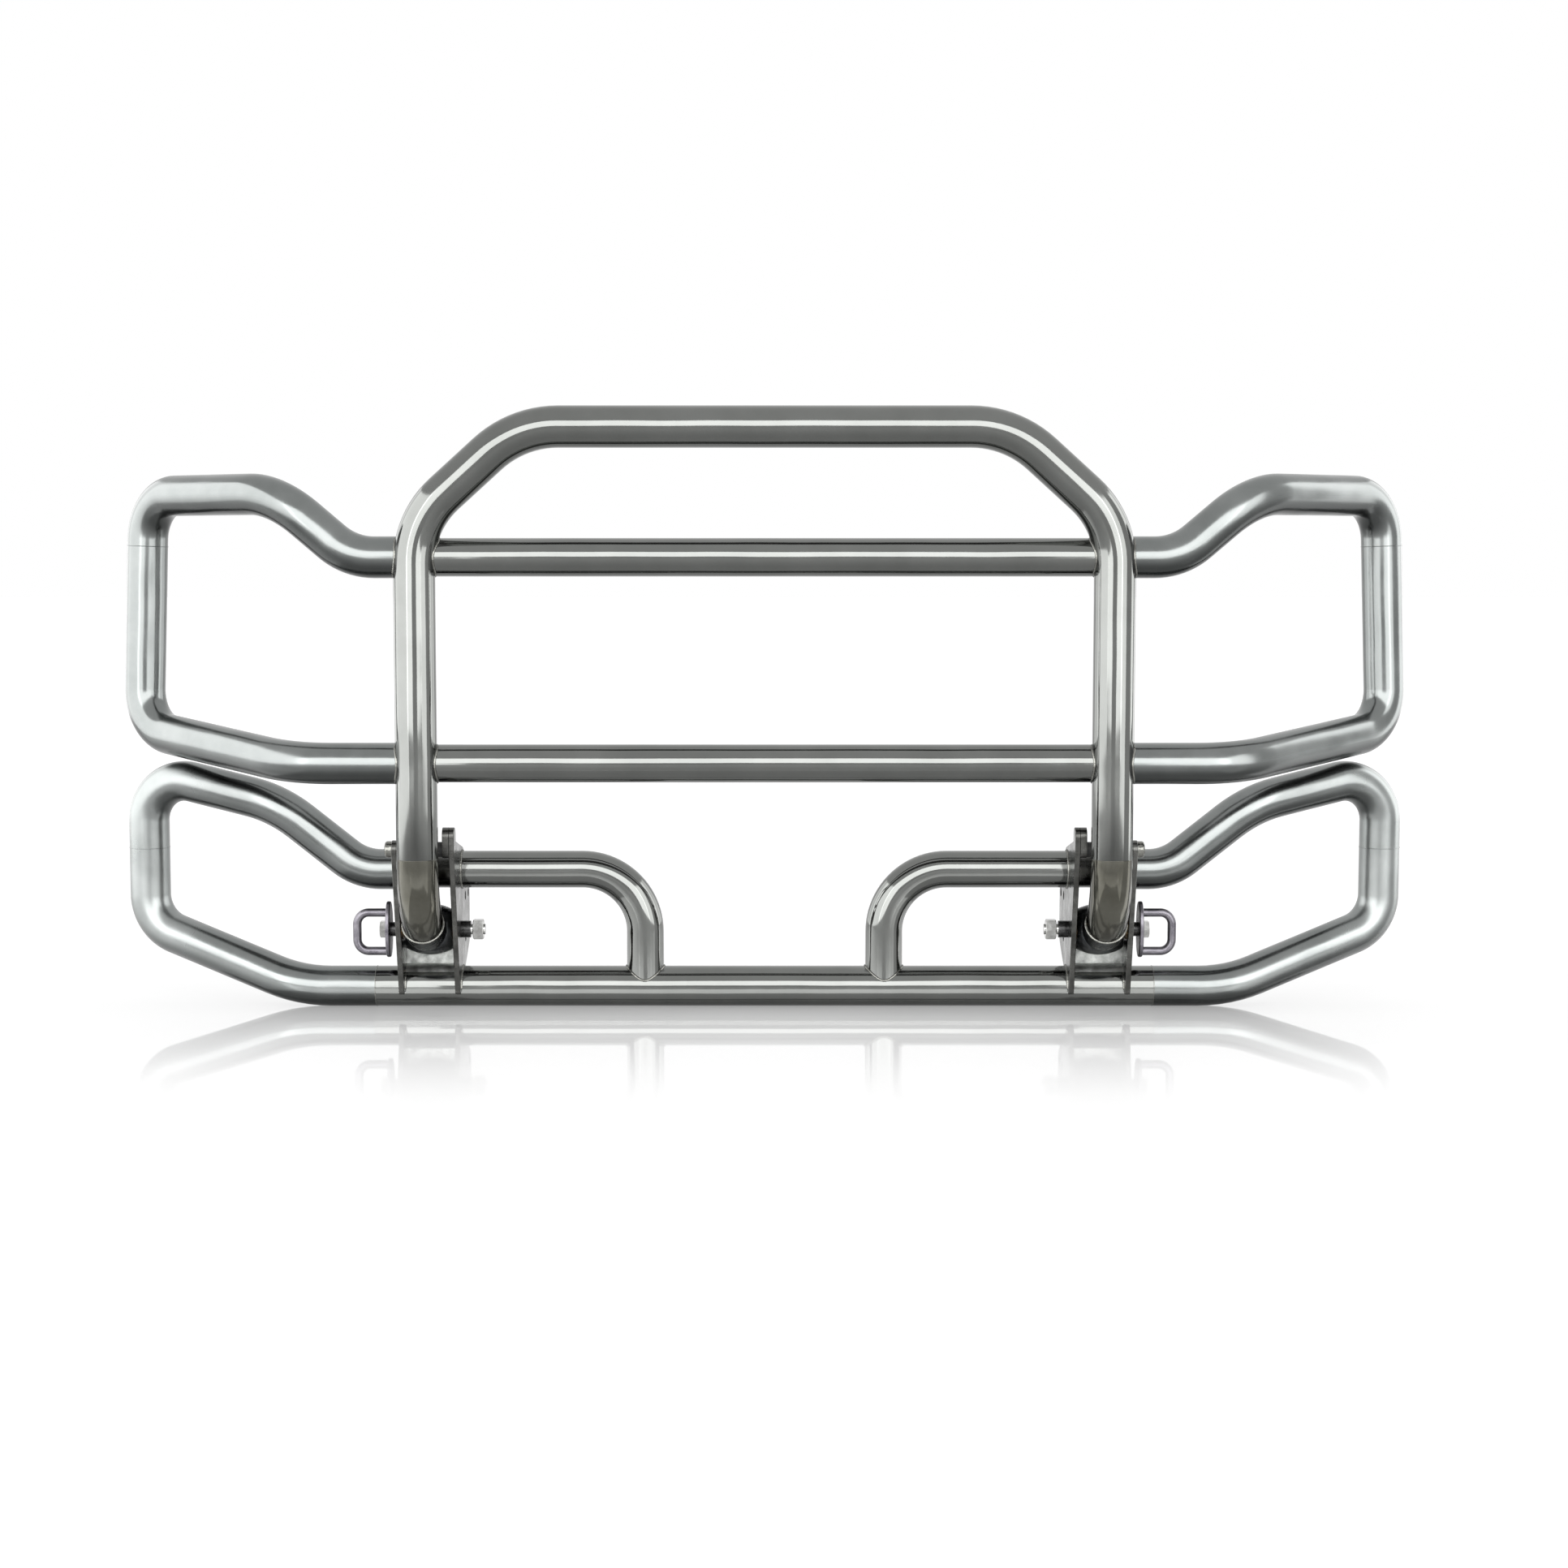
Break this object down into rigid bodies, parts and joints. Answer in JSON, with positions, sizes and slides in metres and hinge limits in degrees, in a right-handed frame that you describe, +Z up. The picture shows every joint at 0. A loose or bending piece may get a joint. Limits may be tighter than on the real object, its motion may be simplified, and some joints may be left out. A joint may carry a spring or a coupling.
{
  "type": "front grille guard",
  "caption": "Tubular front grille guard for a truck, with headlight and bumper wings; its upper section tilts forward on handled screws in the brackets.",
  "frame": {"origin": "on the ground under the middle of the box of the guard, which is also under the middle of the bottom tube lengthwise", "axes": "+Z up, -Y the front of the guard, +X to the right as seen from in front; left in a name is -X"},
  "size_m": [2.4585, 0.3662, 1.1231],
  "materials": {
    "polished_tube": "polished",
    "bracket_steel": "polished",
    "hub_casting": "satin",
    "bush_bronze": "satin",
    "fastener_steel": "satin",
    "dark_collar": "satin",
    "handle_steel": "satin",
    "stop_rubber": "matte"
  },
  "bodies": {
    "lower_section": {"bottom_tube": "polished_tube", "lower_wing_top_left": "polished_tube", "lower_wing_top_right": "polished_tube", "lower_wing_low_left": "polished_tube", "lower_wing_low_right": "polished_tube", "inner_arm_left": "polished_tube", "inner_arm_right": "polished_tube", "bracket_inner_plate_left": "bracket_steel", "bracket_inner_plate_right": "bracket_steel", "bracket_outer_plate_left": "bracket_steel", "bracket_outer_plate_right": "bracket_steel", "tube_saddle_left": "bracket_steel", "tube_saddle_right": "bracket_steel", "cradle_web_left": "bracket_steel", "cradle_web_right": "bracket_steel", "bracket_tube_left": "bracket_steel", "bracket_tube_right": "bracket_steel", "ear_pad_left": "bracket_steel", "ear_pad_right": "bracket_steel", "anchor_bosses": "bracket_steel", "stop_pins": "fastener_steel", "stop_roller_left": "stop_rubber", "stop_roller_right": "stop_rubber"},
    "upper_section": {"center_hoop": "polished_tube", "upper_cross_bar": "polished_tube", "lower_cross_bar": "polished_tube", "upper_wing_top_left": "polished_tube", "upper_wing_top_right": "polished_tube", "upper_wing_low_left": "polished_tube", "upper_wing_low_right": "polished_tube", "foot_elbow_left": "polished_tube", "foot_elbow_right": "polished_tube", "pivot_hub_left": "hub_casting", "pivot_hub_right": "hub_casting", "hub_bushes_left": "bush_bronze", "hub_bushes_right": "bush_bronze"},
    "screw_carrier_left": {"thrust_washer_left": "fastener_steel"},
    "pivot_screw_left": {"clamp_screw_left": "fastener_steel", "handle_plate_left": "handle_steel", "handle_ring_left": "handle_steel", "screw_collar_left": "dark_collar", "end_nut_left": "fastener_steel"},
    "screw_carrier_right": {"thrust_washer_right": "fastener_steel"},
    "pivot_screw_right": {"clamp_screw_right": "fastener_steel", "handle_plate_right": "handle_steel", "handle_ring_right": "handle_steel", "screw_collar_right": "dark_collar", "end_nut_right": "fastener_steel"}
  },
  "joints": [
    {"name": "guard_tilt", "type": "hinge", "parent": "lower_section", "child": "upper_section", "pos_m": [0, 0.005, 0.15], "axis": [1, 0, 0], "range_deg": [0, 65]},
    {"name": "pivot_screw_travel_left", "type": "slide", "parent": "lower_section", "child": "screw_carrier_left", "axis": [-1, 0, 0], "range_m": [0, 0.00313]},
    {"name": "pivot_screw_turn_left", "type": "hinge", "parent": "screw_carrier_left", "child": "pivot_screw_left", "pos_m": [-0.63, 0.005, 0.15], "axis": [-1, 0, 0], "range_deg": [0, 450]},
    {"name": "pivot_screw_travel_right", "type": "slide", "parent": "lower_section", "child": "screw_carrier_right", "axis": [1, 0, 0], "range_m": [0, 0.00313]},
    {"name": "pivot_screw_turn_right", "type": "hinge", "parent": "screw_carrier_right", "child": "pivot_screw_right", "pos_m": [0.63, 0.005, 0.15], "axis": [1, 0, 0], "range_deg": [0, 450]}
  ],
  "couplings": [
    {"joint": "pivot_screw_travel_left", "follows": "pivot_screw_turn_left", "m_per_rad": 0.00039789},
    {"joint": "pivot_screw_travel_right", "follows": "pivot_screw_turn_right", "m_per_rad": 0.00039789}
  ]
}
